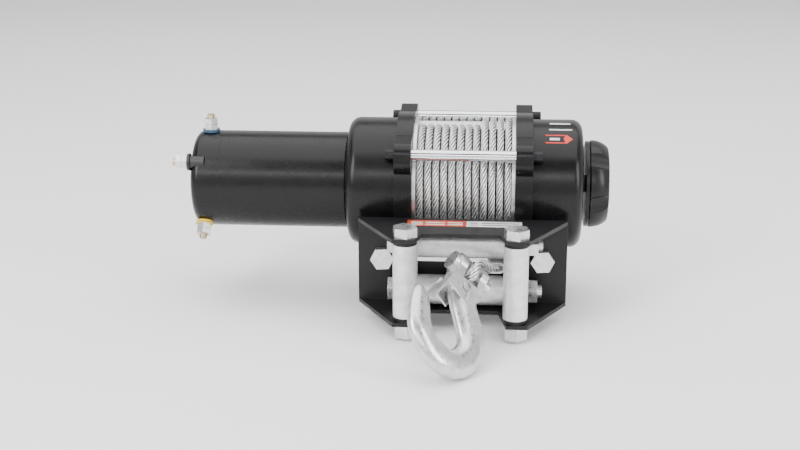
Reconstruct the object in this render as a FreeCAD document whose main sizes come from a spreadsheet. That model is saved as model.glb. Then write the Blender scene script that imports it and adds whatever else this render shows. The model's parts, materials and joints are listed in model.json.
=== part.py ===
"""Electric drum winch with a planetary gearbox, a roller fairlead, wire rope and a clevis hook.

Millimetres. The origin is the centre of the four mounting holes, on the underside of the feet.
+X runs along the drum axis from the motor to the clutch knob, -Y is the side that the rope
leaves, and +Z is up.
"""
import FreeCAD
import Part
import Sketcher

import math
import os
import re

from FreeCAD import Placement, Rotation, Vector

SIZES = {
    # drum and the frame round it
    "axis_height": 59.0,
    "drum_inside": 74.1,
    "drum_core_radius": 15.75,
    "drum_bore_radius": 11.5,
    "flange_radius": 52.0,
    "flange_thick": 2.6,
    "journal_radius": 25.0,
    "journal_bore_radius": 18.5,
    "drum_gap": 0.35,
    "support_width": 13.1,
    "support_radius": 55.7,
    "support_bore": 29.0,
    "running_gap": 0.06,
    "lobe_radius": 10.0,
    "bar_radius": 4.6,
    "front_bar_forward": 46.5,
    "front_bar_rise": 33.0,
    "rear_bar_back": 33.5,
    "rear_bar_rise": 46.0,
    "bar_screw_radius": 4.6,
    "bar_screw_head": 7.0,
    # mounting feet
    "mount_length": 124.0,
    "mount_depth": 76.0,
    "mount_hole_radius": 4.25,
    "foot_end_margin": 9.0,
    "foot_half_depth": 10.0,
    "foot_thick": 12.0,
    "lug_height": 21.0,
    "lug_hole_depth": 9.0,
    # the two end housings
    "housing_radius": 50.85,
    "housing_length": 39.2,
    "housing_wall": 4.0,
    "housing_round": 8.5,
    # motor
    "motor_radius": 38.45,
    "can_length": 100.6,
    "can_wall": 4.0,
    "neck_length": 1.2,
    "neck_radius": 35.5,
    "cap_length": 22.4,
    "cap_round": 7.0,
    "magnet_thick": 7.0,
    "armature_radius": 26.4,
    "armature_length": 52.0,
    "shaft_radius": 5.0,
    "commutator_radius": 13.0,
    "stud_radius": 3.0,
    "stud_reach": 14.0,
    # gear train
    "gear_module": 1.25,
    "sun_teeth": 12,
    "planet_teeth": 21,
    "ring_teeth": 54,
    "gear_width": 6.0,
    "carrier_thick": 2.2,
    "stage_gap": 0.4,
    "drive_shaft_radius": 4.0,
    "shift_rod_radius": 2.4,
    "planet_pin_radius": 3.0,
    "clutch_travel": 4.0,
    # clutch knob
    "knob_radius": 35.0,
    "knob_start": 98.8,
    "knob_length": 14.5,
    "knob_disc_radius": 34.0,
    "knob_disc_start": 95.3,
    "knob_disc_thick": 2.4,
    # rope
    "rope_radius": 2.75,
    "rope_height": 12.8,
    "rope_pitch": 6.0,
    "layer_rise": 5.0,
    "full_layers": 6,
    "last_layer_start": 10.5,
    # fairlead
    "plate_width": 161.5,
    "plate_front": 56.8,
    "plate_thick": 3.0,
    "plate_top": 44.2,
    "plate_bottom": 24.6,
    "nose_front": 110.0,
    "nose_half_width": 50.5,
    "upper_recess_front": 93.5,
    "lower_recess_front": 79.5,
    "top_rim": 2.5,
    "fairlead_bolt_height": 12.4,
    "side_roller_offset": 41.24,
    "side_roller_forward": 100.6,
    "side_roller_radius": 9.33,
    "cross_roller_radius": 11.4,
    "cross_roller_forward": 69.0,
    "upper_roller_height": 29.3,
    "lower_roller_height": -8.4,
    "roller_bolt_radius": 4.9,
    "roller_wall": 3.4,
    "hex_half": 8.4,
    # rope eye and hook
    "eye_radius": 9.0,
    "hook_pin_x": 5.8,
    "hook_pin_forward": 112.0,
    "hook_pin_height": 20.2,
    "fork_gap": 14.0,
    "ear_thick": 6.0,
    "ear_radius": 9.0,
    "clevis_pin_radius": 4.0,
}

# number of teeth round the clutch dog, even so that it also meets the drum half a turn on
DOG_TEETH = 4

doc = FreeCAD.newDocument("Winch")
sheet = doc.addObject("Spreadsheet::Sheet", "Sizes")
for row, (alias, number) in enumerate(SIZES.items(), start=1):
    sheet.set(f"A{row}", alias)
    sheet.set(f"B{row}", str(number))
    sheet.setAlias(f"B{row}", alias)
doc.recompute()


def size(alias):
    """The value that the sheet holds for an alias."""
    return float(getattr(sheet, alias))


def bound(formula):
    """Turn plain names in a formula into references to the sheet."""
    return re.sub(r"[a-z]\w+", lambda name: "Sizes." + name.group(), formula)


def bind(thing, **formulas):
    """Bind properties such as Radius or Height to formulas of the sheet's names."""
    for prop, formula in formulas.items():
        thing.setExpression(prop, bound(formula))


def place(thing, x="0", y="0", z="0", turn=None):
    """Give a primitive its place by formula, after an optional turn."""
    thing.Placement = Placement(Vector(0, 0, 0), turn or Rotation())
    for letter, formula in (("x", x), ("y", y), ("z", z)):
        if formula != "0":
            thing.setExpression(f"Placement.Base.{letter}", bound(formula))


ALONG_X = Rotation(Vector(0, 1, 0), 90)
ALONG_Y = Rotation(Vector(1, 0, 0), -90)
ALONG_Z = Rotation()
AXIS = "axis_height"
NODES = []
counter = {}


def named(kind, stem):
    """Add an object with its own running number."""
    counter[stem] = counter.get(stem, 0) + 1
    return doc.addObject(kind, f"{stem}_{counter[stem]}")


def rod(radius, length, x="0", y="0", z="0", turn=ALONG_X, stem="rod"):
    """A round bar that starts at x, y, z and runs along its turned axis."""
    bar = named("Part::Cylinder", stem)
    bind(bar, Radius=radius, Height=length)
    place(bar, x, y, z, turn)
    return bar


def fuse(*shapes):
    """Join shapes into one solid."""
    if len(shapes) == 1:
        return shapes[0]
    joined = named("Part::MultiFuse", "joined")
    joined.Shapes = list(shapes)
    joined.Refine = True
    return joined


def cut(base, *tools):
    """Take the tools away from the base."""
    result = named("Part::Cut", "cut")
    result.Base = base
    result.Tool = fuse(*tools)
    return result


def node(name, *shapes):
    """Name a sub-part; several shapes become a group of separate solids."""
    part = shapes[0]
    if len(shapes) > 1:
        part = named("Part::Compound", "group")
        part.Links = list(shapes)
    part.Label = name
    NODES.append(part)
    return part


def feature(shape, stem="shape", where=None):
    """Keep a shape that is made directly, with its Placement set after its Shape."""
    thing = named("Part::Feature", stem)
    thing.Shape = shape
    if where is not None:
        thing.Placement = where
    return thing


# ---------------------------------------------------------------- stations along the drum axis
DRUM_END = "(drum_inside / 2 + flange_thick)"
SUPPORT = f"({DRUM_END} + drum_gap)"
HOUSING = f"({SUPPORT} + support_width)"
HOUSING_END = f"({HOUSING} + housing_length)"
CAN = f"({HOUSING_END} + neck_length)"
CAN_END = f"({CAN} + can_length)"
CAP_END = f"({CAN_END} + cap_length)"


def number(formula):
    """Work out a formula of the sheet's names, through a spare cell of the sheet."""
    sheet.set("D1", "=" + re.sub(r"[a-z]\w+", lambda name: str(size(name.group())), formula))
    doc.recompute()
    return float(sheet.get("D1"))


# ---------------------------------------------------------------- turned PartDesign bodies
def origin_plane(body, role):
    """The body's own origin plane with this role."""
    return next(item for item in body.Origin.OriginFeatures if item.Role == role)


def turned(name, steps, rounding=None, rounded_end=0):
    """A body of round pads and pockets along X: (kind, radius, start, length) in formulas.

    The first pad's rim is rounded at its low X end (-1) or its high X end (1).
    """
    body = doc.addObject("PartDesign::Body", name + "_body")
    for index, (kind, radius, start, length) in enumerate(steps):
        sketch = body.newObject("Sketcher::SketchObject", f"{name}_circle_{index}")
        sketch.AttachmentSupport = [(origin_plane(body, "YZ_Plane"), "")]
        sketch.MapMode = "FlatFace"
        sketch.addGeometry(Part.Circle(Vector(0, 0, 0), Vector(0, 0, 1), 10.0), False)
        sketch.addConstraint(Sketcher.Constraint("Coincident", 0, 3, -1, 1))
        sketch.addConstraint(Sketcher.Constraint("Radius", 0, 10.0))
        sketch.renameConstraint(1, "radius")
        sketch.setExpression("Constraints.radius", bound(radius))
        sketch.setExpression("AttachmentOffset.Base.z", bound(start))
        step = body.newObject("PartDesign::" + kind, f"{name}_{kind.lower()}_{index}")
        step.Profile = sketch
        step.Reversed = kind == "Pocket"
        step.setExpression("Length", bound(length))
        if index == 0 and rounding:
            round_rim(body, name, rounding, rounded_end)
    place(body, z=AXIS)
    doc.recompute()
    return body


def round_rim(body, name, radius, end):
    """Fillet the rim at the low (-1) or high (1) end of the body's only pad."""
    doc.recompute()
    pad = body.Tip
    shape = pad.Shape
    face = shape.BoundBox.XMin if end < 0 else shape.BoundBox.XMax
    names = [f"Edge{index}" for index, edge in enumerate(shape.Edges, start=1)
             if isinstance(edge.Curve, Part.Circle) and abs(edge.Curve.Center.x - face) < 0.01]
    fillet = body.newObject("PartDesign::Fillet", name + "_round")
    fillet.Base = (pad, names)
    fillet.setExpression("Radius", bound(radius))
    body.Tip = fillet


def ring(outer, inner, length, x, overrun="1"):
    """A tube along X: outer and inner radius, length and start."""
    return cut(rod(outer, length, x, z=AXIS),
               rod(inner, f"({length}) + 2 * {overrun}", f"{x} - {overrun}", z=AXIS))


def polar(shape, angle, stem):
    """A copy of a shape, turned about the drum axis."""
    copy = shape.copy()
    copy.rotate(Vector(0, 0, size("axis_height")), Vector(1, 0, 0), angle)
    return feature(copy, stem)


def cylinder(radius, length, base, direction):
    """A plain solid cylinder from a base point."""
    return Part.makeCylinder(radius, length, base, direction)


def plane_yz(points, x, length):
    """Extrude a closed outline of (y, z) corners along X."""
    wire = Part.makePolygon([Vector(x, y, z) for y, z in points + points[:1]])
    return Part.Face(wire).extrude(Vector(length, 0, 0))


# ---------------------------------------------------------------- motor
def make_motor():
    """Can, end cap, drive-end plate, magnets, brushes, terminals and bearings."""
    node("motor_can", ring("motor_radius", "motor_radius - can_wall", "can_length", f"-{CAN_END}"))

    cap = turned("cap", [
        ("Pad", "motor_radius", f"-{CAP_END}", "cap_length"),
        ("Pocket", "motor_radius - can_wall", f"-{CAP_END} + 6", "cap_length"),
        ("Pad", "shaft_radius + 5", f"-{CAP_END} + 5", "9"),
        ("Pocket", "shaft_radius + 2.5", f"-{CAP_END} + 4", "12"),
    ], "cap_round", -1)
    edge = size("motor_radius")

    axis = size("axis_height")
    left = -number(CAP_END)
    reach = size("stud_reach")
    # top stud, lower front stud and the one on the end face: foot of each and its direction
    down_front = Rotation(Vector(1, 0, 0), 143.0).multVec(Vector(0, 0, 1))
    up = Vector(0, 0, 1)
    studs = [
        (Vector(left + 12.0, 0, axis) + up * edge, up),
        (Vector(left + 8.0, 0, axis) + down_front * edge, down_front),
        (Vector(left, -28.7, axis + 20.1), Vector(-1, 0, 0)),
    ]
    radius = size("stud_radius")
    holes = [feature(cylinder(radius + 2.0, 14.0, foot - way * 12.0, way), "stud_hole")
             for foot, way in studs]
    node("motor_end_cap", cut(cap, *holes))
    rods = []
    sleeves = []
    nuts = []
    for foot, way in studs:
        rods.append(feature(cylinder(radius, reach + 8.0, foot - way * 8.0, way), "stud"))
        sleeve = cylinder(radius + 1.95, 13.5, foot - way * 11.5, way)
        sleeve = sleeve.fuse(cylinder(6.8, 2.0, foot, way))
        sleeve = sleeve.cut(cylinder(radius, 16.0, foot - way * 12.0, way))
        sleeves.append(feature(sleeve, "insulator"))
        for level in (2.1, 6.6):
            nut = hex_nut(5.0, radius, 4.2, foot + way * level, way)
            nuts.append(feature(nut, "stud_nut"))
    node("terminal_studs", *rods)
    node("terminal_insulators", *sleeves)
    node("terminal_nuts", *nuts)

    spigot = rod("motor_radius - can_wall - 0.05", "6", f"-{CAN} - 6", z=AXIS)
    neck = rod("neck_radius", "neck_length", f"-{CAN}", z=AXIS)
    node("motor_drive_plate",
         cut(fuse(spigot, neck), rod("shaft_radius + 6", "30", f"-{CAN} - 12", z=AXIS)))

    outer = edge - size("can_wall") - 0.02
    inner = outer - size("magnet_thick")
    length = size("armature_length")
    start = -number(CAN) - 16 - length
    slab = Part.makeCylinder(outer, length, Vector(start, 0, axis), Vector(1, 0, 0), 66)
    slab = slab.cut(cylinder(inner, length, Vector(start, 0, axis), Vector(1, 0, 0)))
    node("motor_magnets", *[polar(slab, 90.0 * quarter, "magnet") for quarter in range(4)])

    # armature: slotted core, commutator and one long shaft
    core = cylinder(size("armature_radius"), length, Vector(start, 0, axis), Vector(1, 0, 0))
    core = core.cut(cylinder(size("shaft_radius"), length, Vector(start, 0, axis), Vector(1, 0, 0)))
    slot = Part.makeBox(length, 3.0, 9.0, Vector(start, -1.5, axis + size("armature_radius") - 8.0))
    for tooth in range(12):
        groove = slot.copy()
        groove.rotate(Vector(0, 0, axis), Vector(1, 0, 0), 30.0 * tooth)
        core = core.cut(groove)
    node("armature_core", feature(core, "core"))
    node("commutator", ring("commutator_radius", "shaft_radius", "14",
                            f"-{CAN} - 16 - armature_length - 17"))
    shaft = rod("shaft_radius", f"{CAP_END} - 6 - {HOUSING} - 12", f"-{CAP_END} + 6", z=AXIS)
    socket = feature(hex_nut(3.55, 0, 12.0, Vector(-number(HOUSING) - 24, 0, axis),
                             Vector(1, 0, 0)), "socket")
    node("armature_shaft", cut(shaft, socket))
    brush_x = f"-{CAN} - 16 - armature_length - 14"
    plate = ring("motor_radius - can_wall - 0.02", "commutator_radius + 12.5", "2.5",
                 f"-{CAN} - 16 - armature_length - 18.6")
    node("brush_plate", plate)
    brush_foot = Vector(number(brush_x) + 3, 0, axis + size("commutator_radius") + 0.03)
    brush = cylinder(3.2, 11.0, brush_foot, Vector(0, 0, 1))
    node("brushes", *[polar(brush, 45.0 + 90.0 * quarter, "brush") for quarter in range(4)])
    rear = ring("shaft_radius + 2.5", "shaft_radius + running_gap", "8", f"-{CAP_END} + 6")
    front = ring("shaft_radius + 6", "shaft_radius + running_gap", "6", f"-{CAN} - 6")
    node("motor_bearings", rear, front)


def hex_nut(half, bore, length, base, way):
    """A hexagonal nut or bolt head, given half the distance across its flats."""
    side = way.cross(Vector(0.3, 0.9, 0.2)).normalize()
    corners = [base + Rotation(way, 60.0 * corner).multVec(side) * (half / math.cos(math.pi / 6))
               for corner in range(6)]
    prism = Part.Face(Part.makePolygon(corners + corners[:1])).extrude(way * length)
    if bore:
        prism = prism.cut(cylinder(bore, length, base, way))
    return prism


# ---------------------------------------------------------------- left housing and brake
def make_left_housing():
    """Shell between the motor and the drum, with the load brake in it."""
    shell = turned("left_housing", [
        ("Pad", "housing_radius", f"-{HOUSING_END}", "housing_length"),
        ("Pocket", "housing_radius - housing_wall", f"-{HOUSING_END} + housing_wall",
         "housing_length"),
        ("Pocket", "shaft_radius + 6", f"-{HOUSING_END} - 1", "housing_wall + 2"),
    ], "housing_round", -1)
    node("left_housing", shell)
    hub = ring("17", "shaft_radius", "16", f"-{HOUSING} - 28")
    node("brake_hub", hub)
    node("brake_lining", ring("housing_radius - housing_wall - 0.02", "17.3", "10",
                              f"-{HOUSING} - 24"))


# ---------------------------------------------------------------- drum supports and tie bars
def make_supports():
    """Two cast supports with tie-bar lobes, mounting feet and front lugs for the fairlead."""
    width = size("support_width")
    inner = number(SUPPORT)
    axis = size("axis_height")
    lobe = size("lobe_radius")
    bars = [(-size("front_bar_forward"), axis + size("front_bar_rise")),
            (size("rear_bar_back"), axis + size("rear_bar_rise"))]
    forward = size("mount_depth") / 2
    foot_half = size("foot_half_depth")
    end = size("mount_length") / 2 + size("foot_end_margin")
    foot_start = inner + width - 0.5
    front_face = size("plate_front") - size("plate_thick")
    for name, side in (("drum_support_left", -1), ("drum_support_right", 1)):
        solid = cylinder(size("support_radius"), width, Vector(inner, 0, axis),
                         Vector(1, 0, 0))
        for y, z in bars:
            solid = solid.fuse(cylinder(lobe, width, Vector(inner, y, z), Vector(1, 0, 0)))
        # the front lobe runs on downwards
        (y1, z1), (y2, z2) = bars
        drop = Vector(0, -1.1, -5.0)
        solid = solid.fuse(cylinder(lobe, width, Vector(inner, y1, z1) + drop, Vector(1, 0, 0)))
        side_way = Vector(0, drop.z, -drop.y).normalize() * lobe
        chin = [(y1 + side_way.y, z1 + side_way.z), (y1 - side_way.y, z1 - side_way.z),
                (y1 + drop.y - side_way.y, z1 + drop.z - side_way.z),
                (y1 + drop.y + side_way.y, z1 + drop.z + side_way.z)]
        solid = solid.fuse(plane_yz(chin, inner, width))
        # the web over the top joins the two lobes in one flat tangent
        along = Vector(0, y2 - y1, z2 - z1).normalize()
        out = Vector(0, -along.z, along.y) * lobe
        web = [(y1 + out.y, z1 + out.z), (y2 + out.y, z2 + out.z), (y2 - out.y, z2 - out.z),
               (0.0, axis), (y1 - out.y, z1 - out.z)]
        solid = solid.fuse(plane_yz(web, inner, width))
        # the pedestal under the drum
        base = [(-front_face, 0), (forward + foot_half, 0), (forward + foot_half, 14),
                (forward, 40), (-forward, 44), (-front_face, 30)]
        solid = solid.fuse(plane_yz(base, inner, width))
        # feet under the housing, front and rear, and the tapped lug in front
        for middle in (-forward, forward):
            foot = Part.makeBox(end - foot_start, 2 * foot_half, size("foot_thick"),
                                Vector(foot_start, middle - foot_half, 0))
            solid = solid.fuse(foot)
        lug = Part.makeBox(end - foot_start, front_face - 42.5, size("lug_height"),
                           Vector(foot_start, -front_face, 0))
        solid = solid.fuse(lug)
        solid = solid.removeSplitter()
        # the drum bush, the tie bars' screws, the mounting holes and the fairlead bolt's hole
        solid = solid.cut(cylinder(size("support_bore"), width + 2, Vector(inner - 1, 0, axis),
                                   Vector(1, 0, 0)))
        for y, z in bars:
            solid = solid.cut(cylinder(3.05, width + 2, Vector(inner - 1, y, z),
                                       Vector(1, 0, 0)))
        middle = size("mount_length") / 2
        for y in (-forward, forward):
            solid = solid.cut(cylinder(size("mount_hole_radius"), 60, Vector(middle, y, -1),
                                       Vector(0, 0, 1)))
        hole = cylinder(4.0, size("lug_hole_depth"),
                        Vector(middle, -front_face, size("fairlead_bolt_height")),
                        Vector(0, 1, 0))
        solid = solid.cut(hole)
        if side < 0:
            solid = solid.mirror(Vector(0, 0, 0), Vector(1, 0, 0))
        node(name, feature(solid, "support"))

    rods = []
    screws = []
    span = 2 * inner
    for y, z in bars:
        bar = cylinder(size("bar_radius"), span, Vector(-inner, y, z), Vector(1, 0, 0))
        for way in (-1, 1):
            bar = bar.cut(cylinder(3.0, 12.0, Vector(way * inner, y, z), Vector(-way, 0, 0)))
            head_start = Vector(way * (inner + width), y, z)
            out = Vector(way, 0, 0)
            head = cylinder(size("bar_screw_radius"), size("bar_screw_head"), head_start, out)
            head = head.cut(hex_nut(2.5, 0, 3.5, head_start + out * 3.6, out))
            shank = cylinder(3.0, width + 10.0, head_start - out * (width + 10.0), out)
            screws.append(feature(head.fuse(shank), "bar_screw"))
        rods.append(feature(bar, "tie_bar"))
    node("tie_bars", *rods)
    node("tie_bar_screws", *screws)


# ---------------------------------------------------------------- drum and its rope
def make_drum():
    """The spool, its bushes, the wound rope and the screw that clamps the rope's end."""
    spool = turned("drum", [
        ("Pad", "drum_core_radius", f"-{DRUM_END} - 9", f"2 * {DRUM_END} + 18"),
        ("Pad", "flange_radius", f"-{DRUM_END}", "flange_thick"),
        ("Pad", "flange_radius", "drum_inside / 2", "flange_thick"),
        ("Pad", "journal_radius", f"-{SUPPORT} - support_width + 4", "support_width - 3.8"),
        ("Pad", "journal_radius", DRUM_END, "support_width - 3.8"),
        ("Pocket", "journal_bore_radius", f"-{SUPPORT} - support_width", "14"),
        ("Pocket", "journal_bore_radius", f"{DRUM_END} - 1.5", "20"),
        ("Pocket", "drum_bore_radius", f"-{DRUM_END} - 20", f"2 * {DRUM_END} + 40"),
    ])
    # notches in the right journal's end face take the clutch dog's teeth
    face = number(DRUM_END) + size("support_width") - 3.8
    axis = size("axis_height")
    tools = []
    for tooth in range(DOG_TEETH):
        notch = Part.makeBox(5.0, 9.4, 8.0, Vector(face - 4.4, -4.7, axis + 18.0))
        tools.append(polar(notch, 360.0 / DOG_TEETH * tooth, "notch"))
    screw_x = -size("drum_inside") / 2 - size("flange_thick")
    foot = Vector(screw_x, 0, axis - 34.0)
    tools.append(feature(cylinder(2.5, 20, foot - Vector(1, 0, 0), Vector(1, 0, 0)), "hole"))
    spool = cut(spool, *tools)
    node("winch_drum", spool)
    screw = cylinder(2.5, size("flange_thick") - 0.1, foot + Vector(0.1, 0, 0), Vector(1, 0, 0))
    node("rope_clamp_screw", feature(screw, "clamp_screw"))
    bushes = [ring("support_bore", "journal_radius + running_gap", "support_width - 4", x)
              for x in (f"-{SUPPORT} - support_width + 4", SUPPORT)]
    node("drum_bushes", *bushes)

    # the winding is one closed solid with a step where the last layer starts
    half = size("drum_inside") / 2 - 0.02
    core = size("drum_core_radius")
    rope = size("rope_radius")
    full = core + 2 * rope + (size("full_layers") - 1) * size("layer_rise")
    top = full + size("layer_rise")
    step = size("last_layer_start")
    winding = cylinder(full, 2 * half, Vector(-half, 0, axis), Vector(1, 0, 0))
    winding = winding.fuse(cylinder(top, half - step, Vector(step, 0, axis), Vector(1, 0, 0)))
    winding = winding.cut(cylinder(core, 2 * half, Vector(-half, 0, axis), Vector(1, 0, 0)))
    node("rope_winding", feature(winding.removeSplitter(), "winding"))


# ---------------------------------------------------------------- gear train
PRESSURE = math.radians(20.0)
FLANK_GAP = 0.11
STAGES = 3


def tooth_half_angle(radius, pitch, teeth):
    """Half the angle that an involute tooth spans at a radius."""
    base = pitch * math.cos(PRESSURE)
    rolled = math.acos(min(1.0, base / max(radius, base)))
    return (math.pi / (2 * teeth) + math.tan(PRESSURE) - PRESSURE
            - math.tan(rolled) + rolled)


def toothed(teeth, low, high, gap, length, x, phase=0.0):
    """A toothed prism along X between two radii; gap thins each flank, or widens it if negative."""
    pitch = size("gear_module") * teeth / 2
    points = []
    for tooth in range(teeth):
        middle = phase + 2 * math.pi * tooth / teeth
        flank = []
        for step in range(6):
            radius = low + (high - low) * step / 5
            half = tooth_half_angle(radius, pitch, teeth) - gap / radius
            flank.append((radius, max(half, 0.004)))
        points += [(radius, middle - half) for radius, half in flank]
        points += [(radius, middle + half) for radius, half in reversed(flank)]
    corners = [Vector(x, radius * math.cos(angle), radius * math.sin(angle))
               for radius, angle in points]
    return Part.Face(Part.makePolygon(corners + corners[:1])).extrude(Vector(length, 0, 0))


def external_gear(teeth, x, phase=0.0):
    """A spur gear's solid, centred on the X axis."""
    module = size("gear_module")
    pitch = module * teeth / 2
    return toothed(teeth, pitch - 1.25 * module, pitch + 0.85 * module, FLANK_GAP,
                   size("gear_width"), x, phase)


def stage_start(stage):
    """Where the gears of a stage start; stage 1 is the outermost and stage 3 is at the drum."""
    pitch = size("gear_width") + size("carrier_thick") + 2 * size("stage_gap")
    inside_end = number(HOUSING_END) - size("housing_wall") - 1.2
    return inside_end - size("gear_width") - (stage - 1) * pitch


def on_axis(solid):
    """Lift a solid from the X axis to the drum axis."""
    solid.translate(Vector(0, 0, size("axis_height")))
    return solid


def make_gears():
    """Three planetary stages in one long ring gear, each carrier turning the next sun."""
    module = size("gear_module")
    width = size("gear_width")
    thick = size("carrier_thick")
    gap = size("stage_gap")
    sun = int(size("sun_teeth"))
    planet = int(size("planet_teeth"))
    ring_count = int(size("ring_teeth"))
    orbit = module * (sun + planet) / 2
    pin = size("planet_pin_radius")
    shaft = size("drive_shaft_radius")
    across = Vector(1, 0, 0)

    ring_pitch = module * ring_count / 2
    first = stage_start(STAGES) - 0.3
    length = stage_start(1) + width + 0.3 - first
    outside = cylinder(size("housing_radius") - size("housing_wall") - 0.02, length,
                       Vector(first, 0, 0), across)
    hollow = toothed(ring_count, ring_pitch - 0.85 * module, ring_pitch + 1.25 * module,
                     -FLANK_GAP, length + 2, first - 1)
    node("ring_gear", feature(on_axis(outside.cut(hollow)), "ring_gear"))

    for stage in range(1, STAGES + 1):
        start = stage_start(stage)
        plate_start = start - gap - thick
        carrier = cylinder(orbit + pin + 3.5, thick, Vector(plate_start, 0, 0), across)
        for arm in range(3):
            angle = 2 * math.pi * arm / 3
            middle = Vector(0, orbit * math.cos(angle), orbit * math.sin(angle))
            carrier = carrier.fuse(cylinder(pin, thick + gap + width, middle
                                            + Vector(plate_start, 0, 0), across))
            phase = angle + math.pi + (math.pi + sun * angle) / planet
            gear = external_gear(planet, start, phase)
            gear = gear.cut(cylinder(pin + size("running_gap"), width + 2,
                                     Vector(start - 1, 0, 0), across))
            gear.translate(middle)
            node(f"planet_gear_{stage}{'abc'[arm]}", feature(on_axis(gear), "planet"))
        if stage < STAGES:
            next_start = stage_start(stage + 1)
            next_sun = external_gear(sun, next_start)
            neck = cylinder(module * sun / 2 - 1.25 * module, plate_start - next_start,
                            Vector(next_start, 0, 0), across)
            carrier = carrier.fuse([next_sun, neck])
        else:
            hub_start = number(SUPPORT) + 12.0
            hub = hex_nut(11.0, 0, plate_start - hub_start, Vector(hub_start, 0, 0), across)
            carrier = carrier.fuse(hub)
        hole = cylinder(shaft + 0.3, 60, Vector(plate_start - 40, 0, 0), across)
        carrier = carrier.cut(hole).removeSplitter()
        node(f"planet_carrier_{stage}", feature(on_axis(carrier), "carrier"))

    # hollow drive shaft: hex end in the armature shaft, first sun gear at the far end
    left = -number(HOUSING) - 23.5
    right = stage_start(1) + width
    drive = cylinder(shaft, right - left - 12.5, Vector(left + 12.5, 0, 0), across)
    drive = drive.fuse(hex_nut(3.5, 0, 13.0, Vector(left, 0, 0), across))
    drive = drive.fuse(external_gear(sun, stage_start(1)))
    bore = size("shift_rod_radius") + 0.2
    collar = number(SUPPORT) + 6.5
    drive = drive.cut(cylinder(bore, 80, Vector(collar - 7.5, 0, 0), across))
    slot = Part.makeBox(10.0, 2 * shaft + 2, 3.6, Vector(collar - 6.0, -shaft - 1, -1.8))
    node("drive_shaft", feature(on_axis(drive.cut(slot)), "drive_shaft"))
    return collar


# ---------------------------------------------------------------- clutch
def make_clutch(collar):
    """Sliding dog that locks the last carrier to the drum, its shift rod and the knob."""
    across = Vector(1, 0, 0)
    shaft = size("drive_shaft_radius")
    knob_start = size("knob_start")
    # the rod in the hollow shaft, with a cross pin and a collar outside the shaft
    rod_end = size("knob_disc_start") + 1.0
    shift = cylinder(size("shift_rod_radius"), rod_end - collar + 3.0,
                     Vector(collar - 3.0, 0, 0), across)
    shift = shift.fuse(Part.makeCylinder(1.5, 16.0, Vector(collar, -8.0, 0), Vector(0, 1, 0)))
    sleeve = cylinder(9.0, 4.0, Vector(collar - 2.0, 0, 0), across)
    sleeve = sleeve.cut(cylinder(shaft + 0.4, 6.0, Vector(collar - 3.0, 0, 0), across))
    shift = shift.fuse(sleeve).removeSplitter()
    node("shift_rod", feature(on_axis(shift), "shift_rod"))

    left = collar - 4.1
    right = stage_start(STAGES) - size("stage_gap") - size("carrier_thick") - 0.5
    flange = number(DRUM_END) + size("support_width") + 0.35
    dog = cylinder(15.0, right - left, Vector(left, 0, 0), across)
    dog = dog.fuse(cylinder(24.0, 2.4, Vector(flange, 0, 0), across))
    for tooth in range(DOG_TEETH):
        block_solid = Part.makeBox(3.5, 8.0, 5.0, Vector(flange - 3.4, -4.0, 18.8))
        block_solid.rotate(Vector(0, 0, 0), across, 360.0 / DOG_TEETH * tooth)
        dog = dog.fuse(block_solid)
    dog = dog.cut(cylinder(9.5, 4.6, Vector(collar - 2.3, 0, 0), across))
    dog = dog.cut(hex_nut(11.08, 0, 40, Vector(collar + 2.0, 0, 0), across))
    dog = dog.cut(cylinder(shaft + 0.5, 60, Vector(left - 5, 0, 0), across)).removeSplitter()
    node("clutch_dog", feature(on_axis(dog), "dog"))

    shell = turned("right_housing", [
        ("Pad", "housing_radius", HOUSING, "housing_length"),
        ("Pocket", "housing_radius - housing_wall", f"{HOUSING} - 1",
         "housing_length - housing_wall + 1"),
        ("Pocket", "7.05", f"{HOUSING_END} - housing_wall - 1", "housing_wall + 2"),
    ], "housing_round", 1)
    node("right_housing", shell)

    # the knob's stem runs in the housing's end wall and holds the end of the shift rod
    stem = ring("7", "shift_rod_radius + 0.3", f"knob_start - {HOUSING_END} + housing_wall",
                f"{HOUSING_END} - housing_wall", "0")
    disc = ring("knob_disc_radius", "6.5", "knob_disc_thick", "knob_disc_start", "0")
    node("knob_stem", fuse(stem, disc))
    # domed knob with six finger grooves that get deeper towards the outer face
    radius = size("knob_radius")
    length = size("knob_length")
    base = Vector(knob_start, 0, radius)
    shoulder = Vector(knob_start + length - 2.0, 0, radius - 4.2)
    crown = Vector(knob_start + length, 0, radius - 8.5)
    centre = Vector(knob_start + length, 0, 0)
    dome = Part.Wire([
        Part.makeLine(Vector(knob_start, 0, 0), base),
        Part.Arc(base, Vector(knob_start + length * 0.5, 0, radius - 1.0), shoulder).toShape(),
        Part.Arc(shoulder, Vector(crown.x - 0.45, 0, radius - 5.9), crown).toShape(),
        Part.makeLine(crown, centre), Part.makeLine(centre, Vector(knob_start, 0, 0))])
    knob = Part.Face(dome).revolve(Vector(0, 0, 0), across, 360)
    for groove in range(6):
        cutter = cylinder(10.0, length + 20.0, Vector(knob_start - 8.0, 0, radius + 10.0),
                          Vector(1, 0, -0.30))
        cutter.rotate(Vector(0, 0, 0), across, 43.0 + 60.0 * groove)
        knob = knob.cut(cutter)
    knob = knob.cut(cylinder(17.0, 3.0, Vector(knob_start + length - 3.0, 0, 0), across))
    node("clutch_knob", feature(on_axis(knob), "knob"))


# ---------------------------------------------------------------- fairlead
def outline_xy(points, z, length):
    """Extrude a closed outline of (x, y) corners upwards."""
    wire = Part.makePolygon([Vector(x, y, z) for x, y in points + points[:1]])
    return Part.Face(wire).extrude(Vector(0, 0, length))


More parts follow.
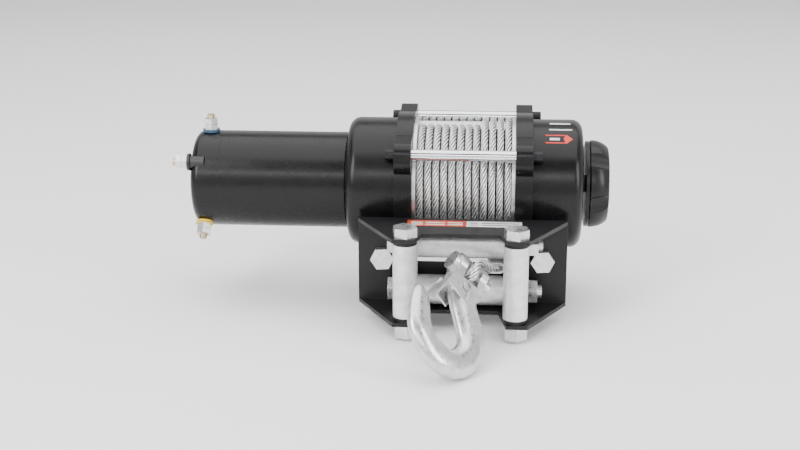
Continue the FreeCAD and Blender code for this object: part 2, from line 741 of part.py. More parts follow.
def make_fairlead():
    """Bent steel frame, four free rollers on hex bolts, and the two bolts into the feet."""
    thick = size("plate_thick")
    half = size("plate_width") / 2
    face = -size("plate_front")
    top = size("plate_top")
    bottom = -size("plate_bottom")
    nose = -size("nose_front")
    nose_half = size("nose_half_width")
    side_x = size("side_roller_offset")
    side_y = -size("side_roller_forward")
    cross_y = -size("cross_roller_forward")
    bolt = size("roller_bolt_radius")
    heights = (size("upper_roller_height"), size("lower_roller_height"))
    tab = side_x + size("side_roller_radius") - thick
    up = Vector(0, 0, 1)
    across = Vector(1, 0, 0)

    frame = Part.makeBox(2 * half, thick, top - bottom, Vector(-half, face, bottom))
    for level, recess in ((top - thick, -size("upper_recess_front")),
                          (bottom, -size("lower_recess_front"))):
        outline = [(-half, face + 0.5), (-nose_half, nose), (-nose_half + 16, nose),
                   (-nose_half + 22, recess), (nose_half - 22, recess), (nose_half - 16, nose),
                   (nose_half, nose), (half, face + 0.5)]
        frame = frame.fuse(outline_xy(outline, level, thick))
    for way in (-1, 1):
        start = tab if way > 0 else -tab - thick
        ear = Part.makeBox(thick, face - cross_y + 9.0, top - bottom - 2,
                           Vector(start, cross_y - 9.0, bottom + 1))
        frame = frame.fuse(ear)
    sill = size("rope_height") - size("rope_radius") - 0.85
    window = Part.makeBox(2 * (tab - 10), thick + 4, heights[0] + 2 - sill,
                          Vector(-tab + 10, face - 2, sill))
    frame = frame.cut(window)
    for way in (-1, 1):
        frame = frame.cut(cylinder(bolt + 0.1, 120, Vector(way * side_x, side_y, bottom - 10), up))
        hole = Vector(way * size("mount_length") / 2, face - 5, size("fairlead_bolt_height"))
        frame = frame.cut(cylinder(4.6, 20, hole, Vector(0, 1, 0)))
    for height in heights:
        frame = frame.cut(cylinder(bolt + 0.1, 200, Vector(-100, cross_y, height), across))
    node("fairlead_frame", feature(frame.removeSplitter(), "frame"))

    # rollers run on their bushes, and the bushes sit on the bolts
    bush_out = size("side_roller_radius") - size("roller_wall")
    bushes = []
    bolts = []
    nuts = []
    low = bottom + thick + 3.2
    high = top - thick - size("top_rim") - 0.4
    for name, way in (("side_roller_left", -1), ("side_roller_right", 1)):
        foot = Vector(way * side_x, side_y, low)
        tube = cylinder(size("side_roller_radius"), high - low, foot, up)
        tube = tube.cut(cylinder(bush_out + 0.06, high - low + 2, foot - up, up))
        node(name, feature(tube, "roller"))
        for start, length, lip in ((low - 3.0, 11.0, -1), (high - 8.0, size("top_rim") + 8.2, 1)):
            bush = cylinder(bush_out, length, Vector(foot.x, foot.y, start), up)
            rim_start = start if lip < 0 else high + 0.2
            rim_length = 2.8 if lip < 0 else size("top_rim")
            bush = bush.fuse(cylinder(size("side_roller_radius") - 0.3, rim_length,
                                      Vector(foot.x, foot.y, rim_start), up))
            bushes.append(bush.cut(cylinder(bolt, 40, Vector(foot.x, foot.y, start - 5), up)))
        head_base = Vector(foot.x, foot.y, top)
        head = hex_nut(size("hex_half"), 0, 7.2, head_base, up)
        shank = cylinder(bolt, top - bottom + 11.5, Vector(foot.x, foot.y, bottom - 11.5), up)
        bolts.append(head.fuse(shank))
        nuts.append(hex_nut(size("hex_half"), bolt, 10.0, Vector(foot.x, foot.y, bottom), -up))
    cross_out = size("cross_roller_radius") - size("roller_wall")
    inner = tab - 2.8
    for name, height in (("cross_roller_upper", heights[0]), ("cross_roller_lower", heights[1])):
        foot = Vector(-inner, cross_y, height)
        tube = cylinder(size("cross_roller_radius"), 2 * inner, foot, across)
        tube = tube.cut(cylinder(cross_out + 0.06, 2 * inner + 2, foot - across, across))
        node(name, feature(tube, "roller"))
        for way in (-1, 1):
            out = Vector(way, 0, 0)
            bush = cylinder(cross_out, 10.7, Vector(way * (inner - 8.0), cross_y, height), out)
            bush = bush.fuse(cylinder(size("cross_roller_radius") - 0.6, 2.4,
                                      Vector(way * (inner + 0.3), cross_y, height), out))
            bushes.append(bush.cut(cylinder(bolt, 200, Vector(-100, cross_y, height), across)))
        outer = tab + thick
        head = hex_nut(size("hex_half"), 0, 6.0, Vector(-outer, cross_y, height), -across)
        shank = cylinder(bolt, 2 * outer + 11.0, Vector(-outer, cross_y, height), across)
        bolts.append(head.fuse(shank))
        nuts.append(hex_nut(size("hex_half"), bolt, 7.5, Vector(outer, cross_y, height), across))
    for way in (-1, 1):
        seat = Vector(way * size("mount_length") / 2, face, size("fairlead_bolt_height"))
        head = hex_nut(8.0, 0, 5.3, seat, Vector(0, -1, 0))
        bolts.append(head.fuse(cylinder(4.0, thick + size("lug_hole_depth") - 1.5, seat,
                                        Vector(0, 1, 0))))
    node("roller_bushes", *[feature(bush, "bush") for bush in bushes])
    node("fairlead_bolts", *[feature(item, "hex_bolt") for item in bolts])
    node("fairlead_nuts", *[feature(item, "hex_nut") for item in nuts])


# ---------------------------------------------------------------- rope end and hook
# the hook hangs tilted: its pin points right and down, its shank back and up
PIN_WAY = Vector(0.6965, 0.2089, -0.6865).normalize()
SHANK_WAY = (Vector(0.2072, 0.8574, 0.4712)
             - PIN_WAY * PIN_WAY.dot(Vector(0.2072, 0.8574, 0.4712))).normalize()
FLAT_WAY = PIN_WAY.cross(SHANK_WAY)


def hook_point(u, v, w=0.0):
    """A point in the hook's own frame: u along the pin, v up the shank, w across the hook."""
    pin = Vector(size("hook_pin_x"), -size("hook_pin_forward"), size("hook_pin_height"))
    return pin + PIN_WAY * u + SHANK_WAY * v + FLAT_WAY * w


def rounded_path(points):
    """Straight runs joined by tangent arcs; prints the smallest radius."""
    edges = []
    last = points[0]
    radii = []
    for before, corner, after in zip(points, points[1:], points[2:]):
        back = (before - corner).normalize()
        on = (after - corner).normalize()
        half_turn = (math.pi - back.getAngle(on)) / 2
        shorter = min((before - corner).Length, (after - corner).Length)
        trim = 0.45 * shorter
        radius = trim / math.tan(half_turn)
        radii.append(radius)
        start = corner + back * trim
        end = corner + on * trim
        bisector = (back + on).normalize()
        centre_distance = radius / math.cos(half_turn)
        middle = corner + bisector * (centre_distance - radius)
        edges.append(Part.LineSegment(last, start).toShape())
        edges.append(Part.Arc(start, middle, end).toShape())
        last = end
    edges.append(Part.LineSegment(last, points[-1]).toShape())
    print("smallest rope radius", round(min(radii), 1), "mm")
    return Part.Wire(edges)


def tube_along(wire, radius):
    """A round solid along a path."""
    start = wire.Edges[0].Vertexes[0].Point
    way = wire.Edges[0].tangentAt(wire.Edges[0].FirstParameter)
    profile = Part.Wire(Part.makeCircle(radius, start, way))
    return wire.makePipeShell([profile], True, True)


def make_rope_end():
    """Free rope from the drum through the fairlead, its eye, the ferrule and the thimble."""
    rope = size("rope_radius")
    middle = size("rope_height")
    loop = size("eye_radius")
    route = [
        Vector(14.0, -26.0, 10.6),
        Vector(18.5, -40.0, 11.6),
        Vector(23.1, -54.0, middle),
        Vector(23.1, -90.0, middle),
        hook_point(0, 10.0, -loop),
        hook_point(0, -loop, -loop),
        hook_point(0, -loop, loop),
        hook_point(0, 10.0, loop),
        Vector(28.9, -90.0, middle),
        Vector(28.9, -64.0, middle),
    ]
    wire = rounded_path(route)
    tube = tube_along(wire, rope)
    print("free rope", round(wire.Length), "mm, volume ratio",
          round(tube.Volume / (math.pi * rope ** 2 * wire.Length), 3))
    node("rope_lead", feature(tube, "rope"))

    ferrule_y = -78.0
    ferrule = None
    for x in (23.1, 28.9):
        barrel = cylinder(rope + 1.6, 13.0, Vector(x, ferrule_y, middle), Vector(0, 1, 0))
        ferrule = barrel if ferrule is None else ferrule.fuse(barrel)
    ferrule = ferrule.fuse(Part.makeBox(5.8, 13.0, 2 * rope + 3.2,
                                        Vector(23.1, ferrule_y, middle - rope - 1.6)))
    for x in (23.1, 28.9):
        ferrule = ferrule.cut(cylinder(rope, 20.0, Vector(x, -84.0, middle), Vector(0, 1, 0)))
    node("rope_ferrule", feature(ferrule.removeSplitter(), "ferrule"))

    inside = loop - rope - 1.6
    width = 8.0
    start = hook_point(-width / 2, 0)
    thimble = cylinder(loop - 0.6, width, start, PIN_WAY)
    torus = Part.makeTorus(loop, rope + 0.02, hook_point(0, 0), PIN_WAY)
    thimble = thimble.cut(torus)
    thimble = thimble.cut(cylinder(inside, width + 2, start - PIN_WAY, PIN_WAY))
    node("rope_thimble", feature(thimble, "thimble"))


HOOK_SECTIONS = [
    # u, v, half width in the hook's plane, half thickness across it
    (0.0, -16.5, 12.0, 7.2), (3.5, -27.0, 12.0, 7.2), (11.7, -38.0, 11.8, 7.2),
    (19.6, -50.0, 11.8, 7.4), (21.0, -64.5, 11.4, 7.4), (13.0, -78.0, 11.0, 7.2),
    (0.2, -82.5, 10.9, 7.0), (-14.2, -78.8, 10.4, 6.8), (-24.8, -69.3, 9.8, 6.4),
    (-29.3, -57.6, 9.0, 5.6), (-32.0, -48.8, 7.2, 4.4), (-34.6, -41.8, 3.6, 2.2),
]
LATCH_PIVOT = (-3.5, -21.0)
LATCH_WAY = (-0.30, -0.954)


def make_hook():
    """Forged clevis hook, its pin and split pin, and the sprung latch."""
    rings = []
    count = len(HOOK_SECTIONS)
    for index, (u, v, wide, thick) in enumerate(HOOK_SECTIONS):
        before = HOOK_SECTIONS[max(index - 1, 0)]
        after = HOOK_SECTIONS[min(index + 1, count - 1)]
        along = PIN_WAY * (after[0] - before[0]) + SHANK_WAY * (after[1] - before[1])
        side = along.cross(FLAT_WAY).normalize()
        centre = hook_point(u, v)
        ellipse = Part.Ellipse(centre + side * wide, centre + FLAT_WAY * (thick - 0.001), centre) \
            if wide > thick else Part.Ellipse(centre + FLAT_WAY * (thick + 0.001),
                                              centre + side * thick, centre)
        rings.append(Part.Wire(ellipse.toShape()))
    hook = Part.makeLoft(rings, True, False)

    gap = size("fork_gap") / 2
    thick = size("ear_thick")
    radius = size("ear_radius")
    pin = size("clevis_pin_radius")
    turn = Rotation(PIN_WAY, SHANK_WAY, FLAT_WAY, "XYZ")

    def slab(u, v, w, length, width, height):
        """A block whose edges follow the hook's frame."""
        box = Part.makeBox(length, width, height)
        box.Placement = Placement(hook_point(u, v, w), turn)
        return box

    for way in (-1, 1):
        low = gap if way > 0 else -gap - thick
        ear = cylinder(radius, thick, hook_point(low, 0), PIN_WAY)
        ear = ear.fuse(slab(low, -17.0, -radius + 1.5, thick, 17.0, 2 * radius - 3.0))
        hook = hook.fuse(ear)
    base = slab(-gap - thick, -22.0, -7.6, 2 * (gap + thick), 8.6, 15.2)
    hook = hook.fuse(base)
    hook = hook.cut(cylinder(pin + 0.02, 60, hook_point(-30, 0), PIN_WAY))
    pivot_u, pivot_v = LATCH_PIVOT
    hook = hook.cut(cylinder(1.8, 40, hook_point(pivot_u, pivot_v, -20), FLAT_WAY))
    node("hook_body", feature(hook.removeSplitter(), "hook"))

    outer = gap + thick
    clevis = cylinder(pin, 2 * outer + 8.5, hook_point(-outer - 1.0, 0), PIN_WAY)
    head = cylinder(7.4, 4.2, hook_point(-outer - 4.3, 0), PIN_WAY)
    clevis = clevis.fuse(head)
    split_u = outer + 4.0
    clevis = clevis.cut(cylinder(1.3, 20, hook_point(split_u, -10), SHANK_WAY))
    node("clevis_pin", feature(clevis, "clevis_pin"))
    split = cylinder(1.25, 12.6, hook_point(split_u, -7.0), SHANK_WAY)
    split = split.fuse(Part.makeTorus(2.7, 1.0, hook_point(split_u, 8.0), FLAT_WAY))
    node("split_pin", feature(split.removeSplitter(), "split_pin"))

    # latch: a pressed strip with two cheeks on a pin through the hook
    du, dv = LATCH_WAY
    way = PIN_WAY * du + SHANK_WAY * dv
    across = FLAT_WAY.cross(way).normalize()
    latch_turn = Rotation(way, across, FLAT_WAY, "XYZ")
    pivot = hook_point(pivot_u, pivot_v)

    def pressed(along, side, flat, length, width, height):
        """A block whose edges follow the latch's own frame."""
        box = Part.makeBox(length, width, height)
        place_at = pivot + way * along + across * side + FLAT_WAY * flat
        box.Placement = Placement(place_at, latch_turn)
        return box

    toward = -14.2
    strip = pressed(6.0, toward, -9.4, 28.0, 1.5, 18.8)
    for flat in (-9.4, 7.9):
        cheek = pressed(-3.5, toward, flat, 14.0, 17.5, 1.5)
        strip = strip.fuse(cheek)
    notch = Part.Face(Part.makePolygon([
        pivot + way * 34.2 + across * (toward - 1) + FLAT_WAY * flat for flat in (-6.0, 6.0)]
        + [pivot + way * 27.0 + across * (toward - 1)]
        + [pivot + way * 34.2 + across * (toward - 1) + FLAT_WAY * -6.0]))
    strip = strip.cut(notch.extrude(across * 4))
    strip = strip.cut(cylinder(1.85, 40, pivot - FLAT_WAY * 20, FLAT_WAY))
    node("hook_latch", feature(strip.removeSplitter(), "latch"))
    latch_pin = cylinder(1.78, 21.0, pivot - FLAT_WAY * 10.5, FLAT_WAY)
    node("latch_pin", feature(latch_pin, "latch_pin"))


def make_latch_spring():
    """Torsion spring on the latch pin, between the hook and a cheek."""
    pivot = hook_point(*LATCH_PIVOT)
    start = pivot + FLAT_WAY * 10.1
    coil = cylinder(3.4, 1.8, start, FLAT_WAY).cut(cylinder(2.3, 1.8, start, FLAT_WAY))
    leg = cylinder(0.45, 12.0, start + FLAT_WAY * 0.9 + PIN_WAY * 2.85, -SHANK_WAY)
    node("latch_spring", feature(coil.fuse(leg).removeSplitter(), "spring"))


make_motor()
make_left_housing()
make_supports()
make_drum()
make_clutch(make_gears())
make_fairlead()
make_rope_end()
make_hook()
make_latch_spring()
doc.recompute()

os.makedirs("parts", exist_ok=True)
for item in doc.Objects:
    if "Invalid" in item.State or "Error" in item.State:
        raise RuntimeError(f"{item.Name} could not be worked out: {item.State}")
for part in NODES:
    if part.Shape.isNull() or not part.Shape.isValid() or not part.Shape.Solids:
        raise RuntimeError(f"{part.Label} has no valid solid")
for part in NODES:
    part.Shape.exportStep(f"parts/{part.Label}.step")
print(len(NODES), "nodes")
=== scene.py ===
"""Looks for the electric drum winch: materials, stranded rope, labels, floor, light and camera."""

import json
import math

import bpy
from mathutils import Matrix, Vector


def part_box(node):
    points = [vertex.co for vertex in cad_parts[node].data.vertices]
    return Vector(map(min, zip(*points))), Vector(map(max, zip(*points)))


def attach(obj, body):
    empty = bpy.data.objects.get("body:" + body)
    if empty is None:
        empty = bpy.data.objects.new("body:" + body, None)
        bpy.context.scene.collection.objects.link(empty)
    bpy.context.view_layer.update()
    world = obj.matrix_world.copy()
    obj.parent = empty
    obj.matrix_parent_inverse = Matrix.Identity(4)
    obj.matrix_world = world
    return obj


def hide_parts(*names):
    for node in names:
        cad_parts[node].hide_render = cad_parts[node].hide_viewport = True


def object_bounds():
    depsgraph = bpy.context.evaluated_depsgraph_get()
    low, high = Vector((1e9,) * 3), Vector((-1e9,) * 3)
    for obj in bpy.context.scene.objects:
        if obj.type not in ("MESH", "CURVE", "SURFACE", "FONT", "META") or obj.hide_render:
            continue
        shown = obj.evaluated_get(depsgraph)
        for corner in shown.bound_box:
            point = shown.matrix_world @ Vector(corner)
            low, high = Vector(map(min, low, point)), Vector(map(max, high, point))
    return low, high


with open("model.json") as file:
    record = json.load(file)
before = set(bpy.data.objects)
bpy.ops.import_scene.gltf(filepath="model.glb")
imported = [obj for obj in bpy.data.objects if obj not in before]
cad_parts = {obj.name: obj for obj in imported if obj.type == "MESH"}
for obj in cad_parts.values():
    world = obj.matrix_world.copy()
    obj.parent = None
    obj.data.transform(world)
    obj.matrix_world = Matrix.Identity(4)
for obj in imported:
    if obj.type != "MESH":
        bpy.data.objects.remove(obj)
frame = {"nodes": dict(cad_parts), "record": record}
CAD_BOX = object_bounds()
NODES = frame["nodes"]
MM = 0.001

# places that the frame gives
WINDING_LOW, WINDING_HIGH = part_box("rope_winding")
AXIS_HEIGHT = (WINDING_LOW.z + WINDING_HIGH.z) / 2


# ---------------------------------------------------------------- shader helpers
class Shader:
    """A Principled material with a few short ways to add nodes."""

    def __init__(self, name, colour, metal=0.0, rough=0.5, **sockets):
        self.material = bpy.data.materials.new(name)
        self.material.use_nodes = True
        self.tree = self.material.node_tree
        self.main = self.tree.nodes["Principled BSDF"]
        self.colour = colour
        self.main.inputs["Base Color"].default_value = (*colour, 1.0)
        self.main.inputs["Metallic"].default_value = metal
        self.main.inputs["Roughness"].default_value = rough
        for socket, value in sockets.items():
            self.main.inputs[socket.replace("_", " ")].default_value = value
        self.bump_out = None

    def add(self, kind, **settings):
        """Add a node and set its properties."""
        node = self.tree.nodes.new("ShaderNode" + kind)
        for key, value in settings.items():
            setattr(node, key, value)
        return node

    def link(self, start, end):
        self.tree.links.new(start, end)

    def coords(self, kind="Object"):
        """Texture coordinates."""
        return self.add("TexCoord").outputs[kind]

    def noise(self, scale, detail=3.0, rough=0.55):
        """A noise texture's value."""
        texture = self.add("TexNoise")
        texture.inputs["Scale"].default_value = scale
        texture.inputs["Detail"].default_value = detail
        texture.inputs["Roughness"].default_value = rough
        self.link(self.coords(), texture.inputs["Vector"])
        return texture.outputs["Fac"]

    def ramp(self, value, low, high, start=0.35, end=0.65):
        """Turn a value into a colour between two ends."""
        ramp = self.add("ValToRGB")
        ramp.color_ramp.elements[0].position = start
        ramp.color_ramp.elements[0].color = (*low, 1.0)
        ramp.color_ramp.elements[1].position = end
        ramp.color_ramp.elements[1].color = (*high, 1.0)
        self.link(value, ramp.inputs["Fac"])
        return ramp.outputs["Color"]

    def vary_colour(self, value, low, high, start=0.35, end=0.65):
        self.link(self.ramp(value, low, high, start, end), self.main.inputs["Base Color"])

    def vary_rough(self, value, low, high):
        """Roughness that follows a value."""
        span = self.add("MapRange")
        span.inputs["From Min"].default_value = 0.3
        span.inputs["From Max"].default_value = 0.7
        span.inputs["To Min"].default_value = low
        span.inputs["To Max"].default_value = high
        self.link(value, span.inputs["Value"])
        self.link(span.outputs["Result"], self.main.inputs["Roughness"])

    def bump(self, value, strength, distance):
        """Add bump; several of them stack."""
        bump = self.add("Bump")
        bump.inputs["Strength"].default_value = strength
        bump.inputs["Distance"].default_value = distance
        self.link(value, bump.inputs["Height"])
        if self.bump_out:
            self.link(self.bump_out, bump.inputs["Normal"])
        self.bump_out = bump.outputs["Normal"]
        self.link(self.bump_out, self.main.inputs["Normal"])

    def soft_edges(self, radius, worn=None, start=0.02, end=0.20):
        """Round the shading at sharp edges, and show a worn colour along them."""
        bevel = self.add("Bevel", samples=4)
        bevel.inputs["Radius"].default_value = radius
        if self.bump_out:
            self.link(self.bump_out, bevel.inputs["Normal"])
        self.bump_out = bevel.outputs["Normal"]
        self.link(self.bump_out, self.main.inputs["Normal"])
        if worn is None:
            return
        wide = self.add("Bevel", samples=4)
        wide.inputs["Radius"].default_value = radius * 0.6
        geometry = self.add("NewGeometry")
        dot = self.add("VectorMath", operation="DOT_PRODUCT")
        self.link(wide.outputs["Normal"], dot.inputs[0])
        self.link(geometry.outputs["Normal"], dot.inputs[1])
        edge = self.add("MapRange")
        edge.inputs["From Min"].default_value = 1.0 - start
        edge.inputs["From Max"].default_value = 1.0 - end
        self.link(dot.outputs["Value"], edge.inputs["Value"])
        patchy = self.add("Math", operation="MULTIPLY")
        self.link(edge.outputs["Result"], patchy.inputs[0])
        self.link(self.noise(300, 4), patchy.inputs[1])
        mix = self.add("Mix", data_type="RGBA")
        base = self.main.inputs["Base Color"]
        if base.links:
            self.link(base.links[0].from_socket, mix.inputs["A"])
        else:
            mix.inputs["A"].default_value = (*self.colour, 1.0)
        mix.inputs["B"].default_value = (*worn, 1.0)
        self.link(patchy.outputs["Value"], mix.inputs["Factor"])
        self.link(mix.outputs["Result"], base)


def grey(value):
    return (value, value, value)


# ---------------------------------------------------------------- materials
def gloss_paint():
    """Semi-gloss black paint with a faint orange peel."""
    shader = Shader("black_paint", (0.005, 0.005, 0.0055), rough=0.27,
                    Specular_IOR_Level=0.26)
    shader.bump(shader.noise(420, 2), 0.05, 0.0003)
    shader.vary_rough(shader.noise(60, 4), 0.24, 0.31)
    shader.soft_edges(0.0007, (0.06, 0.06, 0.062))
    return shader.material


def frame_paint():
    """Powder coat, flatter than the housings."""
    shader = Shader("frame_paint", (0.008, 0.008, 0.009), rough=0.40, Specular_IOR_Level=0.30)
    shader.bump(shader.noise(900, 3), 0.16, 0.0003)
    shader.vary_rough(shader.noise(45, 4), 0.36, 0.50)
    shader.soft_edges(0.0005, (0.16, 0.16, 0.165))
    return shader.material


def black_plastic():
    shader = Shader("black_plastic", (0.007, 0.007, 0.007), rough=0.33, Specular_IOR_Level=0.28)
    shader.bump(shader.noise(1600, 2), 0.12, 0.0002)
    shader.vary_rough(shader.noise(80, 3), 0.28, 0.40)
    return shader.material


def chrome():
    shader = Shader("chrome", (0.80, 0.81, 0.83), metal=1.0, rough=0.10)
    shader.vary_rough(shader.noise(90, 4), 0.07, 0.17)
    return shader.material


def zinc(name, base, rough, lumpy, blotch):
    """Zinc plate: blotchy, with fine grain and, on a forging, shallow lumps."""
    shader = Shader(name, grey(base), metal=0.92, rough=rough)
    cloud = shader.noise(110, 6, rough=0.65)
    shader.vary_colour(cloud, grey(base * (1 - blotch)), grey(min(1.0, base * (1 + blotch * 0.6))))
    shader.vary_rough(shader.noise(260, 4), rough - 0.08, rough + 0.10)
    shader.bump(shader.noise(2400, 2), 0.04, 0.0001)
    if lumpy:
        shader.bump(shader.noise(170, 3), 0.5 * lumpy, 0.0011)
    return shader.material


def roller_zinc():
    """Satin tube with faint drawn lines along its length."""
    shader = Shader("roller_zinc", grey(0.76), metal=0.70, rough=0.38)
    shader.vary_colour(shader.noise(140, 6, rough=0.7), grey(0.64), (0.84, 0.85, 0.84))
    shader.vary_rough(shader.noise(420, 4), 0.33, 0.50)
    shader.bump(shader.noise(1500, 3), 0.18, 0.0002)
    return shader.material


def wire(name):
    """Bright wires, with painted shade that darkens them in the grooves between the strands."""
    shader = Shader(name, grey(0.70), metal=0.85, rough=0.30)
    split = shader.add("SeparateXYZ")
    shader.link(shader.coords("UV"), split.inputs["Vector"])
    # painted shade: the colour falls to near black where the strands meet, standing in for the
    # shade in the grooves
    groove_shade = shader.ramp(split.outputs["Y"], grey(0.08), grey(0.88), 0.22, 0.92)
    stain = shader.ramp(shader.noise(330, 4, rough=0.6), grey(0.86), grey(1.0), 0.35, 0.6)
    mix = shader.add("Mix", data_type="RGBA", blend_type="MULTIPLY")
    mix.inputs["Factor"].default_value = 1.0
    shader.link(groove_shade, mix.inputs["A"])
    shader.link(stain, mix.inputs["B"])
    shader.link(mix.outputs["Result"], shader.main.inputs["Base Color"])
    shader.vary_rough(shader.noise(300, 3), 0.24, 0.36)
    return shader.material


def metal(name, colour, rough, grain=700):
    """Plain machined metal for the inner pieces."""
    shader = Shader(name, colour, metal=0.9, rough=rough)
    shader.vary_colour(shader.noise(90, 4), tuple(c * 0.8 for c in colour), colour)
    shader.vary_rough(shader.noise(grain, 3), rough - 0.07, rough + 0.08)
    shader.bump(shader.noise(grain, 2), 0.12, 0.0002)
    return shader.material


def matte(name, colour, rough=0.75, grain=1200):
    """Plain non-metal for linings, magnets and board, and for the painted shade of the rope
    beneath the outer turns.
    """
    shader = Shader(name, colour, rough=rough)
    shader.vary_colour(shader.noise(160, 5), tuple(c * 0.75 for c in colour), colour)
    shader.bump(shader.noise(grain, 3), 0.25, 0.0003)
    return shader.material


def sleeves():
    """The terminals' sleeves: dark blue on top, yellow below, black on the end face."""
    shader = Shader("insulator", (0.03, 0.10, 0.28), rough=0.42)
    place = shader.add("TexCoord")
    split = shader.add("SeparateXYZ")
    shader.link(place.outputs["Object"], split.inputs["Vector"])
    low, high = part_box("terminal_insulators")
    ramp = shader.add("ValToRGB")
    ramp.color_ramp.interpolation = "CONSTANT"
    ramp.color_ramp.elements[0].color = (0.78, 0.50, 0.03, 1.0)
    ramp.color_ramp.elements[1].position = 0.34
    ramp.color_ramp.elements[1].color = (0.012, 0.012, 0.012, 1.0)
    blue = ramp.color_ramp.elements.new(0.83)
    blue.color = (0.02, 0.06, 0.13, 1.0)
    span = shader.add("MapRange")
    span.inputs["From Min"].default_value = low[2]
    span.inputs["From Max"].default_value = high[2]
    shader.link(split.outputs["Z"], span.inputs["Value"])
    shader.link(span.outputs["Result"], ramp.inputs["Fac"])
    shader.link(ramp.outputs["Color"], shader.main.inputs["Base Color"])
    shader.bump(shader.noise(1500, 2), 0.1, 0.0002)
    return shader.material


def print_film(name, colour, second=None):
    """Printed sticker film."""
    shader = Shader(name, colour, rough=0.42)
    if second:
        shader.vary_colour(shader.noise(700, 2), colour, second, 0.45, 0.55)
    shader.vary_rough(shader.noise(200, 3), 0.36, 0.48)
    return shader.material


MATERIALS = {
    "black_paint": gloss_paint(),
    "frame_paint": frame_paint(),
    "black_plastic": black_plastic(),
    "black_steel": metal("black_steel", (0.03, 0.03, 0.032), 0.38),
    "chrome": chrome(),
    "drum_zinc": zinc("drum_zinc", 0.66, 0.34, 0.0, 0.12),
    "wire_rope": wire("wire_rope"),
    "roller_zinc": roller_zinc(),
    "bolt_zinc": zinc("bolt_zinc", 0.70, 0.30, 0.0, 0.14),
    "hook_zinc": zinc("hook_zinc", 0.66, 0.30, 0.45, 0.16),
    "ferrule_alloy": metal("ferrule_alloy", (0.66, 0.66, 0.67), 0.34),
    "terminal_copper": metal("terminal_copper", (0.60, 0.47, 0.33), 0.32),
    "insulator": sleeves(),
    "bronze": metal("bronze", (0.48, 0.33, 0.17), 0.40),
    "gear_steel": metal("gear_steel", (0.42, 0.42, 0.43), 0.30),
    "core_iron": metal("core_iron", (0.20, 0.17, 0.14), 0.50),
    "magnet": matte("magnet", (0.08, 0.08, 0.085), 0.6),
    "brake_lining": matte("brake_lining", (0.14, 0.11, 0.09), 0.85),
    "carbon": matte("carbon", (0.05, 0.05, 0.05), 0.7),
    "brown_board": matte("brown_board", (0.27, 0.16, 0.07), 0.6),
    # near-black matte: painted shade standing in for the shaded rope layers beneath the outer
    # turns
    "rope_shade": matte("rope_shade", grey(0.07), 0.7),
}


def paint_nodes():
    """Give every CAD node the material of its slot."""
    for entry in frame["record"]["subparts"]:
        node = NODES[entry["node"]]
        node.data.materials.clear()
        node.data.materials.append(MATERIALS[entry["material_slot"]])
        for polygon in node.data.polygons:
            polygon.material_index = 0


def new_mesh(name, vertices, faces, material, body="root"):
    """A mesh object that rides on a body."""
    mesh = bpy.data.meshes.new(name)
    mesh.from_pydata([tuple(v) for v in vertices], [], faces)
    mesh.materials.append(material)
    for polygon in mesh.polygons:
        polygon.use_smooth = True
    mesh.update()
    thing = bpy.data.objects.new(name, mesh)
    bpy.context.scene.collection.objects.link(thing)
    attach(thing, body)
    return thing


# ---------------------------------------------------------------- stranded wire rope
ROPE_RADIUS = 2.75 * MM
STRANDS = 6
STRAND_POINTS = 7
LAY = 28.0 * MM
LAYER_RISE = 5.0 * MM
TURN_PITCH = 6.2 * MM
TURN_STEPS = 144


def strand_outline():
    """Radius and angle round one rope section: six strands side by side."""
    strand = ROPE_RADIUS * 0.345
    orbit = ROPE_RADIUS - strand
    outline = []
    for index in range(STRANDS):
        middle = 2 * math.pi * index / STRANDS
        for step in range(STRAND_POINTS):
            turn = math.radians(-105 + 210 * step / (STRAND_POINTS - 1))
            x = orbit + strand * math.cos(turn)
            y = strand * math.sin(turn)
            outline.append((math.hypot(x, y), middle + math.atan2(y, x)))
    return outline


def rope_mesh(name, points, ups, body):
    """A laid rope along points; ups are outward directions that keep its section steady."""
    outline = strand_outline()
    count = len(outline)
    vertices = []
    uvs = []
    travelled = 0.0
    for index, point in enumerate(points):
        before = points[max(index - 1, 0)]
        after = points[min(index + 1, len(points) - 1)]
        along = (after - before).normalized()
        side = along.cross(ups[index]).normalized()
        up = side.cross(along)
        if index:
            travelled += (point - before).length
        twist = -2 * math.pi * travelled / LAY
        for radius, angle in outline:
            turn = angle + twist
            vertices.append(point + side * (radius * math.cos(turn))
                            + up * (radius * math.sin(turn)))
        uvs.append(travelled)
    faces = []
    for ring in range(len(points) - 1):
        start = ring * count
        for corner in range(count):
            following = (corner + 1) % count
            faces.append((start + corner, start + count + corner, start + count + following,
                          start + following))
    faces.append(tuple(range(count)))
    last = (len(points) - 1) * count
    faces.append(tuple(range(last + count - 1, last - 1, -1)))
    rope = new_mesh(name, vertices, faces, MATERIALS["wire_rope"], body)
    # u runs along the rope in lays; v is 0 in the grooves and 1 on each strand's crown
    layer = rope.data.uv_layers.new(name="lay")
    for polygon in rope.data.polygons:
        corners = [rope.data.loops[loop].vertex_index % count for loop in polygon.loop_indices]
        seam = max(corners) - min(corners) > count / 2
        for loop, corner in zip(polygon.loop_indices, corners):
            ring = rope.data.loops[loop].vertex_index // count
            place = corner + count if seam and corner == 0 else corner
            across = (place % STRAND_POINTS) / (STRAND_POINTS - 1)
            layer.data[loop].uv = (uvs[ring] / LAY, math.sin(math.pi * min(across, 1.0)))
    return rope


def ease(value):
    """Smooth step from 0 to 1."""
    value = min(max(value, 0.0), 1.0)
    return value * value * (3 - 2 * value)


def drum_turns(radius, start, turns, phase):
    """Points of one rope layer: each turn lies square to the drum, then steps aside."""
    points = []
    ups = []
    crossover = 0.28    # share of a turn in which it steps aside
    for step in range(int(turns * TURN_STEPS) + 1):
        turn = step / TURN_STEPS
        whole = math.floor(turn)
        x = start + TURN_PITCH * (whole + ease((turn - whole - 1 + crossover) / crossover))
        angle = 2 * math.pi * turn + phase
        up = Vector((0, math.cos(angle), math.sin(angle)))
        points.append(Vector((x, 0, AXIS_HEIGHT)) + up * radius)
        ups.append(up)
    return points, ups


